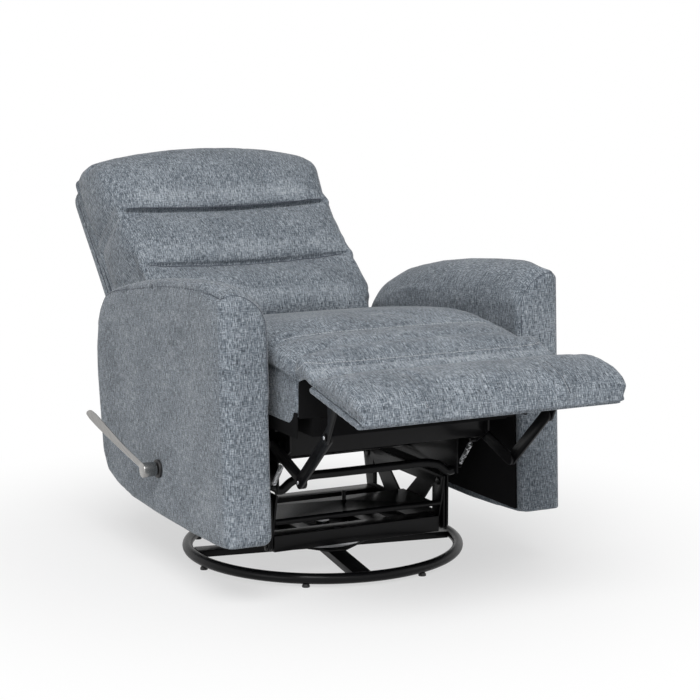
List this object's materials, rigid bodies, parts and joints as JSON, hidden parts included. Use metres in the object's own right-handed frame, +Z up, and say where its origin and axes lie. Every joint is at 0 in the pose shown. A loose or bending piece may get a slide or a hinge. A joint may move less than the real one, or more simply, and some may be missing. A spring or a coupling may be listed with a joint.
{
  "type": "swivel glider recliner",
  "caption": "Upholstered swivel glider recliner in blue-grey woven fabric, reclined with the footrest out, on a black round steel base with a side release lever.",
  "frame": {"origin": "centre of the object's outline on the floor", "axes": "+Z up, -Y the way the sitter faces, +X to the sitter's left; the release lever is on the -X side"},
  "size_m": [0.8044, 1.5226, 0.8067],
  "materials": {
    "black_steel": "gloss black enamel",
    "black_plastic": "matt",
    "bright_steel": "zinc plated",
    "satin_metal": "satin nickel",
    "upholstery": "heathered woven linen look",
    "black_lining": "plain black lining cloth",
    "timber": "raw"
  },
  "bodies": {
    "base": {"base_ring": "black_steel", "base_cross": "black_steel", "glide_1": "black_plastic", "glide_2": "black_plastic", "glide_3": "black_plastic", "glide_4": "black_plastic", "glide_5": "black_plastic", "glide_6": "black_plastic", "glide_7": "black_plastic", "bearing_lower_race": "bright_steel", "bearing_cage": "bright_steel", "swivel_bolt": "bright_steel"},
    "swivel_frame": {"bearing_upper_race": "bright_steel", "turntable_plate": "black_steel", "lower_frame": "black_steel", "deck_plate": "black_steel", "side_bracket_left": "black_steel", "side_bracket_right": "black_steel"},
    "front_glide_links": {"glide_link_front_left": "black_steel", "glide_link_front_right": "black_steel"},
    "rear_glide_links": {"glide_link_rear_left": "black_steel", "glide_link_rear_right": "black_steel"},
    "chair_body": {"hanger_plate_left": "black_steel", "hanger_plate_right": "black_steel", "front_cross_tube": "black_steel", "rear_rail": "timber", "arm_side_left": "upholstery", "arm_side_right": "upholstery", "arm_board_left": "black_lining", "arm_board_right": "black_lining", "arm_pad_left": "upholstery", "arm_pad_right": "upholstery", "arm_front_left": "upholstery", "arm_front_right": "upholstery", "lever_bezel": "black_plastic", "seat_guide_left": "black_steel", "seat_guide_right": "black_steel", "return_spring_left": "bright_steel", "return_spring_right": "bright_steel"},
    "release_lever": {"release_shaft": "black_steel", "lever_handle": "satin_metal"},
    "seat": {"seat_side_plate_left": "black_steel", "seat_side_plate_right": "black_steel", "front_cross_rail": "black_steel", "seat_frame": "timber", "seat_cushion": "upholstery"},
    "back": {"back_hinge_left": "black_steel", "back_hinge_right": "black_steel", "back_frame": "timber", "back_panel": "upholstery", "back_cushion": "upholstery"},
    "calf_rest": {"calf_pad": "upholstery"},
    "front_footrest_links": {"front_foot_link_left": "black_steel", "front_foot_link_right": "black_steel"},
    "rear_footrest_links": {"rear_foot_link_left": "black_steel", "rear_foot_link_right": "black_steel"},
    "footrest": {"footrest_bracket_left": "black_steel", "footrest_bracket_right": "black_steel", "footrest_board": "upholstery", "footrest_pad": "upholstery"}
  },
  "joints": [
    {"name": "swivel", "type": "hinge", "parent": "base", "child": "swivel_frame", "pos_m": [0.03224, -0.03641, 0.04], "axis": [0, 0, 1], "continuous": true},
    {"name": "front_glide_swing", "type": "hinge", "parent": "swivel_frame", "child": "front_glide_links", "pos_m": [0.03224, -0.19641, 0.163], "axis": [1, 0, 0], "range_deg": [-25, 25]},
    {"name": "rear_glide_swing", "type": "hinge", "parent": "swivel_frame", "child": "rear_glide_links", "pos_m": [0.03224, 0.12359, 0.163], "axis": [1, 0, 0], "range_deg": [-25, 25]},
    {"name": "chair_swing", "type": "hinge", "parent": "rear_glide_links", "child": "chair_body", "pos_m": [0.03224, 0.12359, 0.073], "axis": [1, 0, 0], "range_deg": [-25, 25]},
    {"name": "lever_turn", "type": "hinge", "parent": "chair_body", "child": "release_lever", "pos_m": [-0.33776, -0.03641, 0.215], "axis": [1, 0, 0], "range_deg": [0, 59.25]},
    {"name": "seat_slide", "type": "slide", "parent": "chair_body", "child": "seat", "axis": [0, 0.9976, -0.0698], "range_m": [0, 0.095], "deforming": ["return_spring_left", "return_spring_right"]},
    {"name": "back_recline", "type": "hinge", "parent": "seat", "child": "back", "pos_m": [0.03224, 0.27359, 0.417], "axis": [1, 0, 0], "range_deg": [0, 33]},
    {"name": "front_foot_link_swing", "type": "hinge", "parent": "seat", "child": "front_footrest_links", "pos_m": [0.03224, -0.28441, 0.295], "axis": [1, 0, 0], "range_deg": [0, 24]},
    {"name": "rear_foot_link_swing", "type": "hinge", "parent": "front_footrest_links", "child": "rear_footrest_links", "pos_m": [0.03224, -0.41641, 0.251], "axis": [1, 0, 0], "range_deg": [-62.5, 0]},
    {"name": "footrest_fold", "type": "hinge", "parent": "rear_footrest_links", "child": "footrest", "pos_m": [0.03224, -0.54141, 0.362], "axis": [1, 0, 0], "range_deg": [0, 118.5]},
    {"name": "calf_fold", "type": "hinge", "parent": "seat", "child": "calf_rest", "pos_m": [0.03224, -0.44671, 0.459], "axis": [1, 0, 0], "range_deg": [0, 90]}
  ],
  "couplings": [
    {"joint": "front_glide_swing", "follows": "chair_swing", "ratio": -1},
    {"joint": "rear_glide_swing", "follows": "chair_swing", "ratio": -1},
    {"joint": "seat_slide", "follows": "back_recline", "m_per_rad": 0.16494},
    {"joint": "lever_turn", "follows": "footrest_fold", "ratio": 0.5},
    {"joint": "calf_fold", "follows": "footrest_fold", "ratio": 0.75949},
    {"joint": "front_foot_link_swing", "follows": "footrest_fold", "ratio": 0.20253},
    {"joint": "rear_foot_link_swing", "follows": "footrest_fold", "ratio": -0.52742}
  ]
}
